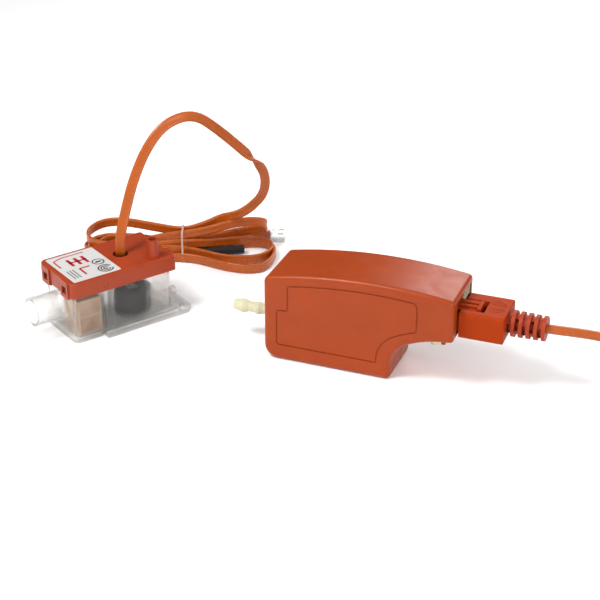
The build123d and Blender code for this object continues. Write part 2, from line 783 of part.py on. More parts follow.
with BuildPart() as reservoir_body:
    extrude(body_plan(reservoir), amount=rim_z)
    # foot flange: thick at the inlet end, thin where the bracket's rails grip it
    with BuildSketch(reservoir) as foot_plan:
        with Locations((19 / 2, middle_w)):
            Rectangle(19, lid_width)
        fillet(foot_plan.vertices().group_by(Axis.X)[0], 4.0)
    extrude(amount=flange_top)
    with BuildSketch(reservoir.offset(flange_z)):
        with Locations(((19 + right_wall_u) / 2, middle_w)):
            Rectangle(right_wall_u - 19, lid_width)
    extrude(amount=flange_top - flange_z)
    # inlet tube
    with BuildSketch(across_u(left_wall_u + 1, middle_w, inlet_axis_z)):
        Circle(inlet_outer)
    extrude(amount=-(inlet_reach + 1))
    # chamber
    chamber = body_plan(reservoir.offset(floor_thickness), body_wall)
    extrude(chamber, amount=rim_z, mode=Mode.SUBTRACT)
    with BuildSketch(across_u(left_wall_u + 3, middle_w, inlet_axis_z)):
        Circle(inlet_inner)
    extrude(amount=-(inlet_reach + 4), mode=Mode.SUBTRACT)
    # partition with a low port, and the rib pair that marks the float chamber
    with BuildSketch(reservoir.offset(floor_thickness)):
        with Locations((partition_u, middle_w)):
            Rectangle(1.4, body_width - 2 * body_wall + 0.2)
        for w in (body_inset + body_wall + 2.4, lid_width - body_inset - body_wall - 2.4):
            with Locations((28.3, w)):
                Rectangle(1.4, 5)
        for u in (41.0, 57.0):
            with Locations((u, 36.2)):
                Rectangle(1.2, 5.6)
    extrude(amount=28)
    with BuildSketch(across_u(partition_u - 2, middle_w, floor_thickness + 5)):
        Rectangle(14, 10)
    extrude(amount=4, mode=Mode.SUBTRACT)
    # ring that the float rests on
    with BuildSketch(reservoir.offset(floor_thickness)):
        with Locations((float_u, float_w)):
            Circle(9)
            Circle(7, mode=Mode.SUBTRACT)
    extrude(amount=float_rest_z - floor_thickness)
    # suction spigot
    spigot_profile = Plane(
        origin=at_reservoir(0, spigot_w, spigot_z), x_dir=u_axis, z_dir=-Vector(w_axis)
    )
    spigot_axis = Axis(spigot_profile.origin, u_axis)
    revolve(barb_section(spigot_profile, spigot_tip_u, -1, 2.0, 3.0, 4.0, spigot_reach), axis=spigot_axis)
    with BuildSketch(across_u(spigot_tip_u, spigot_w, spigot_z)):
        Circle(2.0)
    extrude(amount=-spigot_reach - 3.4, mode=Mode.SUBTRACT)
    # catches that show through the lid's clip windows
    for u, way in ((left_wall_u, -1), (right_wall_u, 1)):
        for w in clip_places:
            with BuildSketch(across_u(u, w, 33.6)):
                Rectangle(4.0, 3.0)
            extrude(amount=0.55 * way)
finished(reservoir_body.part, "reservoir_body")

with BuildPart() as inlet_filter:
    with BuildSketch(reservoir.offset(floor_thickness)) as filter_plan:
        with Locations((13.4, middle_w)):
            Rectangle(16.4, body_width - 2 * body_wall - 2)
        fillet(filter_plan.vertices(), 2.0)
    extrude(amount=23)
finished(inlet_filter.part, "inlet_filter")

rail_height = 3.6
rail_play = 0.25
bracket_right_u = 83.0
with BuildPart() as mounting_bracket:
    with BuildSketch(reservoir) as bracket_plan:
        with Locations(((bracket_left_u + bracket_right_u) / 2, middle_w)):
            Rectangle(bracket_right_u - bracket_left_u, lid_width + 9.6)
        chamfer(bracket_plan.vertices().group_by(Axis.X)[-1], 5)
        with Locations(((bracket_left_u - 1 + right_wall_u + 2) / 2, middle_w)):
            Rectangle(
                right_wall_u + 3 - bracket_left_u,
                body_width + 2 * rail_play,
                mode=Mode.SUBTRACT,
            )
    extrude(amount=rail_height)
    with BuildSketch(reservoir.offset(2.4)):
        with Locations((right_wall_u + 2 + 10, middle_w)):
            Rectangle(20, lid_width + 12)
    extrude(amount=2, mode=Mode.SUBTRACT)
    # the groove that slides on the body's flange
    with BuildSketch(reservoir.offset(flange_z - rail_play)):
        with Locations(((bracket_left_u + right_wall_u + 2) / 2 - 1, middle_w)):
            Rectangle(right_wall_u + 4 - bracket_left_u, lid_width + 0.8)
    extrude(amount=flange_top - flange_z + 2 * rail_play, mode=Mode.SUBTRACT)
    with BuildSketch(reservoir):
        with Locations((77.6, 3.0), (77.6, lid_width - 3.0)):
            Circle(1.9)
        with Locations((77.6, middle_w)):
            SlotOverall(10, 3.8, rotation=90)
    extrude(amount=rail_height, mode=Mode.SUBTRACT)
finished(mounting_bracket.part, "mounting_bracket")

with BuildPart() as float_body:
    with BuildSketch(reservoir.offset(float_rest_z)):
        with Locations((float_u, float_w)):
            Circle(float_radius)
    extrude(amount=float_height)
    fillet(float_body.edges().filter_by(GeomType.CIRCLE), 2.4)
    with BuildSketch(reservoir.offset(float_rest_z + float_height / 2 - 0.4)):
        with Locations((float_u, float_w)):
            Circle(float_radius + 1)
            Circle(float_radius - 0.5, mode=Mode.SUBTRACT)
    extrude(amount=0.8, mode=Mode.SUBTRACT)
    with BuildSketch(reservoir.offset(float_rest_z + float_height)):
        with Locations((float_u, float_w)):
            Circle(4.0)
    extrude(amount=-4, mode=Mode.SUBTRACT)
finished(float_body.part, "float_body")

with BuildPart() as float_magnet:
    with BuildSketch(reservoir.offset(float_rest_z + float_height - 4)):
        with Locations((float_u, float_w)):
            Circle(3.95)
    extrude(amount=3.6)
finished(float_magnet.part, "float_magnet")

# ---------------------------------------------------------------- lid and what it carries
lid_bottom_z = lid_top_z - lid_skirt
lid_under_z = lid_top_z - 2.0
stub_u = 60.4
stub_w = 6.6
with BuildPart() as lid:
    with BuildSketch(reservoir.offset(lid_bottom_z)) as lid_plan:
        with Locations((middle_u, middle_w)):
            Rectangle(lid_length, lid_width)
        fillet(lid_plan.vertices().group_by(Axis.X)[0], 4.0)
        fillet(lid_plan.vertices().group_by(Axis.X)[-1], 1.6)
    extrude(amount=lid_skirt)
    fillet(lid.faces().sort_by(Axis.Z)[-1].edges(), 0.8)
    # clip tabs on both ends, a little lower than the skirt
    for u, way in ((0, -1), (lid_length, 1)):
        for w in clip_places:
            with BuildSketch(across_u(u, w, lid_bottom_z + 4.2)) as tab:
                Rectangle(9.4, 11.4)
                fillet(tab.vertices(), 1.5)
            extrude(amount=0.9 * way)
            with BuildSketch(across_u(u, w, lid_bottom_z - 0.6)):
                Rectangle(9.4, 1.8)
            extrude(amount=-0.9 * way)
    with BuildSketch(reservoir.offset(lid_bottom_z)) as skirt_plan:
        with Locations((middle_u, middle_w)):
            Rectangle(lid_length - 2 * lid_wall, lid_width - 2 * lid_wall)
        fillet(skirt_plan.vertices().group_by(Axis.X)[0], 2.4)
    extrude(amount=lid_under_z - lid_bottom_z, mode=Mode.SUBTRACT)
    for u in (0, lid_length):
        for w in clip_places:
            with BuildSketch(across_u(u, w, 33.6)):
                Rectangle(5.0, 5.0)
            extrude(amount=3, both=True, mode=Mode.SUBTRACT)
    # breather stub with a flared foot
    with BuildSketch(reservoir.offset(lid_top_z)):
        with Locations((stub_u, stub_w)):
            Circle(5.0)
    extrude(amount=0.8)
    with BuildSketch(reservoir.offset(lid_top_z)):
        with Locations((stub_u, stub_w)):
            Circle(3.9)
    extrude(amount=12)
    with BuildSketch(reservoir.offset(lid_under_z)):
        with Locations((stub_u, stub_w)):
            Circle(2.5)
        with Locations((cable_hole_u, cable_hole_w)):
            Circle(cable_hole_radius)
    extrude(amount=20, mode=Mode.SUBTRACT)
finished(lid.part, "lid")

with BuildPart() as lid_gasket:
    gasket_outer = body_plan(reservoir.offset(rim_z), 0.1)
    extrude(gasket_outer, amount=lid_under_z - rim_z)
    gasket_inner = body_plan(reservoir.offset(rim_z), body_wall - 0.1)
    extrude(gasket_inner, amount=lid_under_z - rim_z, mode=Mode.SUBTRACT)
finished(lid_gasket.part, "lid_gasket")

with BuildPart() as lid_potting:
    with BuildSketch(reservoir.offset(35.6)) as potting_plan:
        with Locations((51, 23.6)):
            Rectangle(32, 26)
        fillet(potting_plan.vertices(), 1.5)
    extrude(amount=lid_under_z - 35.6)
finished(lid_potting.part, "lid_potting")

with BuildPart() as sensor_board:
    with BuildSketch(reservoir.offset(34.6)):
        with Locations((51, 23.6)):
            Rectangle(30, 24)
    extrude(amount=1.0)
    # two level sensors over the float's magnet
    with BuildSketch(reservoir.offset(33.4)):
        with Locations((float_u, float_w), (float_u + 8, float_w)):
            Rectangle(4.1, 3)
    extrude(amount=1.2)
finished(sensor_board.part, "sensor_board")

with BuildPart() as lid_label:
    with BuildSketch(reservoir.offset(lid_top_z)) as label_plan:
        with Locations((19.4, 21.6)):
            Rectangle(32.6, 38)
        fillet(label_plan.vertices(), 1.2)
    extrude(amount=0.15)
finished(lid_label.part, "lid_label")

# ---------------------------------------------------------------- sensor cable
cable_start = at_reservoir(cable_hole_u, cable_hole_w, lid_under_z)
cable_route = (
    tuple(cable_start),
    (cable_start.X, cable_start.Y, 50.0),
    (-147.0, 11.5, 66.0),
    (-146.4, 21.0, 83.0),
    (-141.5, 31.5, 101.0),
    (-132.5, 43.5, 115.0),
    (-118.5, 58.0, 118.5),
    (-104.0, 73.5, 103.0),
    (-91.5, 87.5, 86.0),
    (-83.5, 96.0, 68.0),
    (-86.5, 100.5, 50.0),
    (-98.0, 101.5, 37.5),
    (-110.0, 100.5, 29.5),
    (-119.5, 98.0, 24.6),
)
finished(cord_tube(cable_route, cable_width), "cable_loop")

hank = Plane(
    origin=(hank_x, hank_y, 0),
    x_dir=(cos(radians(hank_yaw)), sin(radians(hank_yaw)), 0),
    z_dir=(0, 0, 1),
)


def at_hank(s, d, z):
    """A point of the hank's own axes: s along it, d behind its middle line."""
    return hank.from_local_coords(Vector(s, d, z))


with BuildPart() as cable_hank:
    # two fanned lobes, pinched by a tie in the middle
    with BuildSketch(hank.offset(tie_thickness)):
        with BuildLine():
            Spline(
                (0, -6.2),
                (20, -12),
                (41, -22),
                (56, -18),
                (61, -4),
                (57, 11),
                (46, 18),
                (26, 12),
                (0, 6.2),
                (-18, 11),
                (-44, 22),
                (-61, 19),
                (-67, 7),
                (-58, -6),
                (-38, -9),
                (-18, -7.5),
                periodic=True,
            )
        make_face()
    extrude(amount=hank_height)
finished(cable_hank.part, "cable_hank")

hank_tie_plane = Plane(
    origin=at_hank(0, 0, tie_thickness + hank_height / 2),
    x_dir=(-sin(radians(hank_yaw)), cos(radians(hank_yaw)), 0),
    z_dir=(cos(radians(hank_yaw)), sin(radians(hank_yaw)), 0),
)
finished(strap(hank_tie_plane, 14.0, hank_height, 1.2), "hank_tie")

hose_radius = 2.75
hose_route = [
    tuple(at_hank(s, d, tie_thickness + hose_radius))
    for s, d in ((-46, 6.5), (-24, 3.0), (-2, 1.5), (20, 2.8), (41, 6.5))
]
finished(cord_tube(hose_route, 2 * hose_radius), "breather_hose")

modular_plug_plane = Plane(
    origin=(-97.0, 134.5, 0), x_dir=(cos(radians(17)), sin(radians(17)), 0), z_dir=(0, 0, 1)
)
with BuildPart() as modular_plug:
    with BuildSketch(modular_plug_plane):
        Rectangle(18, 9.7)
    extrude(amount=6.0)
    # sprung lever under the body's nose, moulded in one piece with it
    with BuildSketch(modular_plug_plane.offset(6.0)):
        with Locations((2, 0)):
            Rectangle(12, 3.2)
    extrude(amount=1.0)
    # cable mouth, and the slots of the contacts
    with BuildSketch(modular_plug_plane.offset(1.6)):
        with Locations((-4.5, 0)):
            Rectangle(9.2, 6.4)
    extrude(amount=2.8, mode=Mode.SUBTRACT)
finished(modular_plug.part, "modular_plug")

with BuildPart() as modular_plug_contacts:
    with BuildSketch(modular_plug_plane.offset(6.0)):
        for place in (-3.6, 3.6):
            with Locations((6.4, place)):
                Rectangle(3.6, 0.6)
    extrude(amount=0.4)
finished(modular_plug_contacts.part, "modular_plug_contacts")

print(len(made), "sub-parts")
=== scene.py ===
"""Looks of a condensate pump: an orange pump unit, and a clear reservoir on a flat cable.

Metres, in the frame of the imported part: the origin is under the middle of the pump's foot.
"""

import math

import bmesh
import bpy
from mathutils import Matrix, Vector


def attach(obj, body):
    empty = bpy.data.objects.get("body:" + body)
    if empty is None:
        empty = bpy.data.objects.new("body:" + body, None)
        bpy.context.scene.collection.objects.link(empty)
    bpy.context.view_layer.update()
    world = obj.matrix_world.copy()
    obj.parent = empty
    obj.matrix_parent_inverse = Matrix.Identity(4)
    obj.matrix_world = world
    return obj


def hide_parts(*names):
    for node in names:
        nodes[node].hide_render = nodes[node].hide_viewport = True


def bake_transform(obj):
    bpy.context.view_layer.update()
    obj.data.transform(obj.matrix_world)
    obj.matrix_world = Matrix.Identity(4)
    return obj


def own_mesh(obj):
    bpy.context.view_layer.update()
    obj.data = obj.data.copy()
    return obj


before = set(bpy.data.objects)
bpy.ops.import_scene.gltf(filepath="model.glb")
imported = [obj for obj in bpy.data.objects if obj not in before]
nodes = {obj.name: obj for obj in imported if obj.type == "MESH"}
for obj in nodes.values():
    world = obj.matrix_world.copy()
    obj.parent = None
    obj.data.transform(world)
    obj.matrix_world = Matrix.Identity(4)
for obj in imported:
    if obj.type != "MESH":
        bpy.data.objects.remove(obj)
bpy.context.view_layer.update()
MM = 0.001

# ---------------------------------------------------------------- camera
CAMERA_PLACE = Vector((0.26185, -0.74483, 0.44918))
CAMERA_YAW = 21.02
CAMERA_PITCH = 27.631
LENS_MM = 90
SENSOR_MM = 36
camera_data = bpy.data.cameras.new("camera")
camera_data.lens = LENS_MM
camera_data.sensor_width = SENSOR_MM
camera = bpy.data.objects.new("camera", camera_data)
camera.location = CAMERA_PLACE
camera.rotation_euler = (math.radians(90 - CAMERA_PITCH), 0, math.radians(CAMERA_YAW))
bpy.context.scene.collection.objects.link(camera)
bpy.context.scene.camera = camera

# the reservoir's own axes: u along it from its inlet end, w across it
RESERVOIR_CORNER = Vector((-0.1524, -0.0476, 0))
RESERVOIR_YAW = math.radians(57)
U_AXIS = Vector((math.cos(RESERVOIR_YAW), math.sin(RESERVOIR_YAW), 0))
W_AXIS = Vector((-math.sin(RESERVOIR_YAW), math.cos(RESERVOIR_YAW), 0))

# the cable hank's own axes: s along it, d behind its middle line
HANK_MIDDLE = Vector((-0.1425, 0.086, 0))
HANK_YAW = math.radians(21)
S_AXIS = Vector((math.cos(HANK_YAW), math.sin(HANK_YAW), 0))
D_AXIS = Vector((-math.sin(HANK_YAW), math.cos(HANK_YAW), 0))


def at_reservoir(u, w, z):
    """A point given in millimetres along the reservoir's axes."""
    return RESERVOIR_CORNER + (U_AXIS * u + W_AXIS * w + Vector((0, 0, z))) * MM


def at_hank(s, d, z):
    """A point given in millimetres along the hank's axes."""
    return HANK_MIDDLE + (S_AXIS * s + D_AXIS * d + Vector((0, 0, z))) * MM


# ---------------------------------------------------------------- materials
CLOUD_SCALE = 45
GLOSS_SCALE = 120
GRAIN_STRENGTH = 0.35
CLEAR_TRANSMISSION = 0.965
CLEAR_INDEX = 1.3
CLEAR_ALPHA = 0.55
# painted shade: the dark colour of the open cells between the filter threads
THREAD_GAP_PAINTED_SHADE = (120, 105, 95)
THREAD_SHADE = (250, 245, 240)


def linear(red, green, blue):
    """A colour given as 0 to 255 values, as the shader takes it."""
    parts = []
    for value in (red, green, blue):
        part = value / 255
        parts.append(part / 12.92 if part <= 0.04045 else ((part + 0.055) / 1.055) ** 2.4)
    return (*parts, 1.0)


def node_material(name):
    """A new node material, its tree and its main shader."""
    material = bpy.data.materials.new(name)
    material.use_nodes = True
    return material, material.node_tree, material.node_tree.nodes["Principled BSDF"]


def noise(tree, scale, detail=3.0, stretch=(1, 1, 1)):
    """A noise texture in the piece's own coordinates; scale is in cycles a metre."""
    coordinates = tree.nodes.new("ShaderNodeTexCoord")
    mapping = tree.nodes.new("ShaderNodeMapping")
    mapping.inputs["Scale"].default_value = stretch
    texture = tree.nodes.new("ShaderNodeTexNoise")
    texture.inputs["Scale"].default_value = scale
    texture.inputs["Detail"].default_value = detail
    tree.links.new(coordinates.outputs["Object"], mapping.inputs["Vector"])
    tree.links.new(mapping.outputs["Vector"], texture.inputs["Vector"])
    return texture


def ranged(tree, value, low, high, start=0.3, stop=0.7):
    """A 0 to 1 value brought between low and high."""
    spread = tree.nodes.new("ShaderNodeMapRange")
    spread.inputs["From Min"].default_value = start
    spread.inputs["From Max"].default_value = stop
    spread.inputs["To Min"].default_value = low
    spread.inputs["To Max"].default_value = high
    tree.links.new(value, spread.inputs["Value"])
    return spread.outputs["Result"]


def two_tone(tree, factor, first, second):
    """A colour mixed between two by a factor."""
    mix = tree.nodes.new("ShaderNodeMix")
    mix.data_type = "RGBA"
    mix.inputs["A"].default_value = first
    mix.inputs["B"].default_value = second
    tree.links.new(factor, mix.inputs["Factor"])
    return mix.outputs["Result"]


def bumped(tree, shader, height, strength, distance):
    """A bump on the shader from a height value; distance is in metres."""
    bump = tree.nodes.new("ShaderNodeBump")
    bump.inputs["Strength"].default_value = strength
    bump.inputs["Distance"].default_value = distance
    tree.links.new(height, bump.inputs["Height"])
    tree.links.new(bump.outputs["Normal"], shader.inputs["Normal"])


def darker(colour, amount):
    """A colour scaled by an amount."""
    return (*(part * amount for part in colour[:3]), 1.0)


def moulded(
    name, colour, rough=0.42, mottle=0.06, grain=2600, grain_height=0.04 * MM, sheen=0.22
):
    """Moulded plastic: a slight cloudiness, an uneven gloss and a fine spark-eroded grain."""
    material, tree, shader = node_material(name)
    clouds = noise(tree, CLOUD_SCALE, 4)
    clouded = ranged(tree, clouds.outputs["Fac"], 0, 1)
    tones = darker(colour, 1 - mottle), darker(colour, 1 + mottle)
    tree.links.new(two_tone(tree, clouded, *tones), shader.inputs["Base Color"])
    patches = noise(tree, GLOSS_SCALE, 3)
    gloss = ranged(tree, patches.outputs["Fac"], rough - 0.05, rough + 0.06)
    tree.links.new(gloss, shader.inputs["Roughness"])
    shader.inputs["Specular IOR Level"].default_value = sheen
    fine = noise(tree, grain, 2)
    bumped(tree, shader, fine.outputs["Fac"], GRAIN_STRENGTH, grain_height)
    return material


def clear_plastic(name, tint, rough=0.1):
    """Clear moulded plastic with faint flow marks and a little haze."""
    material, tree, shader = node_material(name)
    flow = noise(tree, 60, 3, (1, 1, 0.35))
    tones = tint, darker(tint, 0.93)
    tree.links.new(
        two_tone(tree, ranged(tree, flow.outputs["Fac"], 0, 1), *tones),
        shader.inputs["Base Color"],
    )
    shader.inputs["Transmission Weight"].default_value = CLEAR_TRANSMISSION
    shader.inputs["IOR"].default_value = CLEAR_INDEX
    shader.inputs["Alpha"].default_value = CLEAR_ALPHA
    haze = noise(tree, 90, 3)
    tree.links.new(
        ranged(tree, haze.outputs["Fac"], rough, rough + 0.08), shader.inputs["Roughness"]
    )
    bumped(tree, shader, flow.outputs["Fac"], 0.25, 0.3 * MM)
    return material


def metal(name, colour, rough=0.3, brushed=(1, 1, 14)):
    """Bright metal with fine draw marks."""
    material, tree, shader = node_material(name)
    marks = noise(tree, 700, 4, brushed)
    shader.inputs["Metallic"].default_value = 1.0
    tree.links.new(
        two_tone(tree, ranged(tree, marks.outputs["Fac"], 0, 1), darker(colour, 0.8), colour),
        shader.inputs["Base Color"],
    )
    tree.links.new(
        ranged(tree, marks.outputs["Fac"], rough - 0.08, rough + 0.12), shader.inputs["Roughness"]
    )
    bumped(tree, shader, marks.outputs["Fac"], 0.2, 0.03 * MM)
    return material


def mesh_cloth(name, light, dark, threads):
    """A moulded filter mesh: crossing threads, with painted shade in the open cells between them.
    """
    material, tree, shader = node_material(name)
    coordinates = tree.nodes.new("ShaderNodeTexCoord")
    turned = tree.nodes.new("ShaderNodeMapping")
    turned.inputs["Rotation"].default_value = (0, 0, -RESERVOIR_YAW)
    tree.links.new(coordinates.outputs["Object"], turned.inputs["Vector"])
    lines = []
    for direction in ("X", "Z"):
        wave = tree.nodes.new("ShaderNodeTexWave")
        wave.wave_type = "BANDS"
        wave.bands_direction = direction
        wave.inputs["Scale"].default_value = threads
        wave.inputs["Distortion"].default_value = 0.4
        tree.links.new(turned.outputs["Vector"], wave.inputs["Vector"])
        lines.append(wave.outputs["Fac"])
    crossed = tree.nodes.new("ShaderNodeMath")
    crossed.operation = "MAXIMUM"
    tree.links.new(lines[0], crossed.inputs[0])
    tree.links.new(lines[1], crossed.inputs[1])
    blotch = noise(tree, 70, 3)
    stained = two_tone(tree, ranged(tree, blotch.outputs["Fac"], 0, 1), dark, light)
    mix = tree.nodes.new("ShaderNodeMix")
    mix.data_type = "RGBA"
    mix.blend_type = "MULTIPLY"
    mix.inputs["Factor"].default_value = 0.75
    tree.links.new(stained, mix.inputs["A"])
    # painted shade: the open cells between the threads are darkened, the threads kept light
    tree.links.new(
        two_tone(tree, crossed.outputs["Value"], linear(*THREAD_GAP_PAINTED_SHADE), linear(*THREAD_SHADE)),
        mix.inputs["B"],
    )
    tree.links.new(mix.outputs["Result"], shader.inputs["Base Color"])
    shader.inputs["Roughness"].default_value = 0.7
    bumped(tree, shader, crossed.outputs["Value"], 0.6, 0.3 * MM)
    return material


housing_plastic = moulded("housing_plastic", linear(154, 58, 11), rough=0.33, sheen=0.26)
cover_plastic = moulded("cover_plastic", linear(156, 63, 27))
lid_plastic = moulded("lid_plastic", linear(154, 56, 24), rough=0.32, sheen=0.3)
plug_plastic = moulded("plug_plastic", linear(158, 53, 12), rough=0.46, sheen=0.06)
relief_plastic = moulded("relief_plastic", linear(160, 56, 28), rough=0.48)
cable_sheath = moulded(
    "cable_sheath",
    linear(170, 80, 20),
    rough=0.26,
    mottle=0.05,
    grain=1800,
    grain_height=0.03 * MM,
    sheen=0.4,
)
nylon = moulded("nylon", linear(206, 204, 170), rough=0.38, mottle=0.04)
black_foam = moulded(
    "black_foam", linear(12, 12, 13), rough=0.5, mottle=0.15, grain=1500, grain_height=0.15 * MM
)
black_rubber = moulded("black_rubber", linear(30, 29, 29), rough=0.55, mottle=0.12)
black_epoxy = moulded("black_epoxy", linear(34, 34, 36), rough=0.4, mottle=0.1)
solder_mask = moulded("solder_mask", linear(30, 92, 48), rough=0.3, mottle=0.12)
tie_plastic = moulded("tie_plastic", linear(190, 160, 148), rough=0.3, mottle=0.05)
label_film = moulded(
    "label_film", linear(196, 194, 192), rough=0.4, mottle=0.01, grain=900, grain_height=0.01 * MM
)
clear_shell = clear_plastic("clear_shell", linear(255, 254, 251))
clear_plug = clear_plastic("clear_plug", linear(248, 249, 248), rough=0.03)
filter_nylon = moulded("filter_nylon", linear(196, 170, 148), rough=0.45, mottle=0.08)
steel = metal("steel", linear(190, 190, 192))
brass = metal("brass", linear(212, 176, 96), rough=0.25)
copper = metal("copper", linear(196, 112, 72), brushed=(60, 1, 1))
filter_cloth = mesh_cloth("filter_cloth", linear(214, 186, 160), linear(150, 118, 88), threads=260)
core_colours = [
    moulded("core_" + name, linear(*colour), rough=0.35)
    for name, colour in (
        ("brown", (96, 58, 36)),
        ("blue", (36, 78, 160)),
        ("green_yellow", (150, 170, 50)),
    )
]

NODE_MATERIALS = {
    "pump_housing": housing_plastic,
    "pump_back_cover": cover_plastic,
    "power_socket": plug_plastic,
    "latch_clip": plug_plastic,
    "plug_shell": plug_plastic,
    "plug_strain_relief": relief_plastic,
    "lid": lid_plastic,
    "mounting_bracket": clear_shell,
    "pump_inlet_barb": nylon,
    "pump_outlet_barb": nylon,
    "sensor_socket": nylon,
    "coil_bobbin": nylon,
    "outlet_head": nylon,
    "float_body": black_foam,
    "rubber_mounts": black_rubber,
    "lid_gasket": black_rubber,
    "outlet_hose": black_rubber,
    "piston_valve": black_rubber,
    "outlet_valve": black_rubber,
    "lid_potting": black_epoxy,
    "board_components": black_epoxy,
    "control_board": solder_mask,
    "sensor_board": solder_mask,
    "lid_label": label_film,
    "reservoir_body": clear_shell,
    "modular_plug": clear_plug,
    "core_frame": steel,
    "piston": steel,
    "return_spring": steel,
    "damping_spring": steel,
    "housing_screws": steel,
    "float_magnet": steel,
    "pump_cylinder": brass,
    "plug_contacts": brass,
    "socket_pins": brass,
    "modular_plug_contacts": brass,
    "solenoid_coil": copper,
    "lead_tie": tie_plastic,
    "hank_tie": tie_plastic,
}
for node_name, node_look in NODE_MATERIALS.items():
    slots = nodes[node_name].data.materials
    slots.clear()
    slots.append(node_look)


def finished_mesh(name, mesh, smooth=True):
    """An object from a bmesh, linked to the scene."""
    data = bpy.data.meshes.new(name)
    mesh.to_mesh(data)
    mesh.free()
    for face in data.polygons:
        face.use_smooth = smooth
    piece = bpy.data.objects.new(name, data)
    bpy.context.scene.collection.objects.link(piece)
    return piece


# ---------------------------------------------------------------- cords
def spline_curve(name, points, radius=0.0, resolution=8):
    """A NURBS curve object through its control points, round if it has a radius."""
    data = bpy.data.curves.new(name, "CURVE")
    data.dimensions = "3D"
    data.resolution_u = resolution
    data.bevel_depth = radius
    data.bevel_resolution = 6
    data.use_fill_caps = True
    line = data.splines.new("NURBS")
    line.points.add(len(points) - 1)
    for control, point in zip(line.points, points):
        control.co = (*point, 1)
    line.order_u = 3
    line.use_endpoint_u = True
    curve = bpy.data.objects.new(name, data)
    bpy.context.scene.collection.objects.link(curve)
    return curve


def spline_points(name, points, resolution=8):
    """The points of a NURBS line, in order, read from the curve itself."""
    curve = spline_curve(name, points, 0.0, resolution)
    mesh = bpy.data.meshes.new_from_object(curve)
    line = [vertex.co.copy() for vertex in mesh.vertices]
    bpy.data.objects.remove(curve)
    bpy.data.meshes.remove(mesh)
    return line


LEAD_DIAMETER = 5.5 * MM
LEAD_ROUTE_MM = (
    (97.0, 2.0, 40.0),
    (126.0, 2.0, 40.0),
    (142.0, 3.0, 40.4),
    (156.0, 5.0, 39.6),
    (170.0, 8.0, 35.5),
    (183.0, 10.3, 26.5),
    (196.0, 11.3, 15.4),
)
# the coil's radii and heights are in millimetres, its angles in degrees, and its drop from
# one layer to the other is given in shares of its length
LEAD_COIL_MIDDLE = Vector((0.216, -0.027, 0))
COIL_OUTER = 38.2
COIL_INNER = 20.8
COIL_LOW = 3.4
COIL_HIGH = 8.9
COIL_START = 101.0
COIL_END = -12.4
COIL_TURNS = 6
POINTS_A_TURN = 16
COIL_DROP_START = 0.48
COIL_DROP_SHARE = 0.04


def coil_points():
    """The lead's turns: inwards on top, then outwards underneath, clockwise from above."""
    sweep_degrees = COIL_TURNS * 360 + COIL_START - COIL_END
    count = round(sweep_degrees / 360 * POINTS_A_TURN)
    points = []
    for step in range(count + 1):
        share = step / count
        angle = math.radians(COIL_START - share * sweep_degrees)
        inward = 1 - abs(2 * share - 1)
        radius = COIL_OUTER + (COIL_INNER - COIL_OUTER) * inward
        drop = min(max((share - COIL_DROP_START) / COIL_DROP_SHARE, 0), 1)
        z = COIL_HIGH + (COIL_LOW - COIL_HIGH) * drop
        offset = Vector((radius * math.cos(angle), radius * math.sin(angle), z)) * MM
        points.append(LEAD_COIL_MIDDLE + offset)
    return points


lead_points = [Vector(point) * MM for point in LEAD_ROUTE_MM] + coil_points()
mains_lead = spline_curve("mains_lead", lead_points, LEAD_DIAMETER / 2, 6)
mains_lead.data.materials.append(cable_sheath)
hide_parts("power_lead", "power_lead_coil")
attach(mains_lead, "power_plug")

# bare cores at the lead's end, each with its stripped copper tip
CORE_FAN = (-1, 0, 1)
CORE_START = Vector((0.2525, -0.035, 0.0034))
CORE_SPACING = Vector((1.5, 0, 0)) * MM
CORE_REACH = Vector((0, -26, 0)) * MM
CORE_SPREAD = Vector((3.5, 0, 0)) * MM
CORE_ARCH = Vector((0, 0, 0.8)) * MM
CORE_RADIUS = 0.9 * MM
CORE_SHEATH_END = 0.82
TIP_RADIUS = 0.5 * MM
TIP_BEGIN = 0.8
TIP_MIDDLE = 0.9
core_pieces = []
for side, core_look in zip(CORE_FAN, core_colours):
    start = CORE_START + CORE_SPACING * side
    reach = CORE_REACH + CORE_SPREAD * side
    core_points = [start, start + reach * 0.5 + CORE_ARCH, start + reach * CORE_SHEATH_END]
    core = spline_curve(f"lead_core_{side + 1}", core_points, CORE_RADIUS)
    core.data.materials.append(core_look)
    tip_points = [start + reach * TIP_BEGIN, start + reach * TIP_MIDDLE, start + reach]
    tip = spline_curve(f"lead_core_tip_{side + 1}", tip_points, TIP_RADIUS)
    tip.data.materials.append(copper)
    core_pieces += [core, tip]
for piece in core_pieces:
    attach(piece, "power_plug")
    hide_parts("lead_wires")

HOSE_DIAMETER = 5.5 * MM
HOSE_GAP_BELOW = 0.6
HOSE_ROUTE = ((-46, 6.5), (-24, 3.0), (-2, 1.5), (20, 2.8), (41, 6.5))
hose_height = HOSE_GAP_BELOW + HOSE_DIAMETER / MM / 2
hose_points = [at_hank(s, d, hose_height) for s, d in HOSE_ROUTE]
breather = spline_curve("breather_hose_bent", hose_points, HOSE_DIAMETER / 2)
breather.data.materials.append(black_rubber)
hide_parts("breather_hose")
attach(breather, "units")

CABLE_WIDTH = 6.4 * MM
CABLE_THICKNESS = 2.4 * MM
LOOP_ROUTE_MM = (
    (-145.6, 13.0, 66.0),
    (-144.0, 22.5, 83.0),
    (-139.0, 32.5, 101.0),
    (-131.0, 43.5, 114.2),
    (-118.0, 58.0, 117.5),
    (-106.9, 70.5, 103.5),
    (-94.8, 84.8, 84.5),
    (-85.5, 95.1, 70.0),
    (-87.0, 99.2, 52.0),
    (-98.0, 101.5, 38.5),
    (-109.0, 103.0, 30.0),
)
cable_exit = at_reservoir(46.0, 22.0, 38.0)

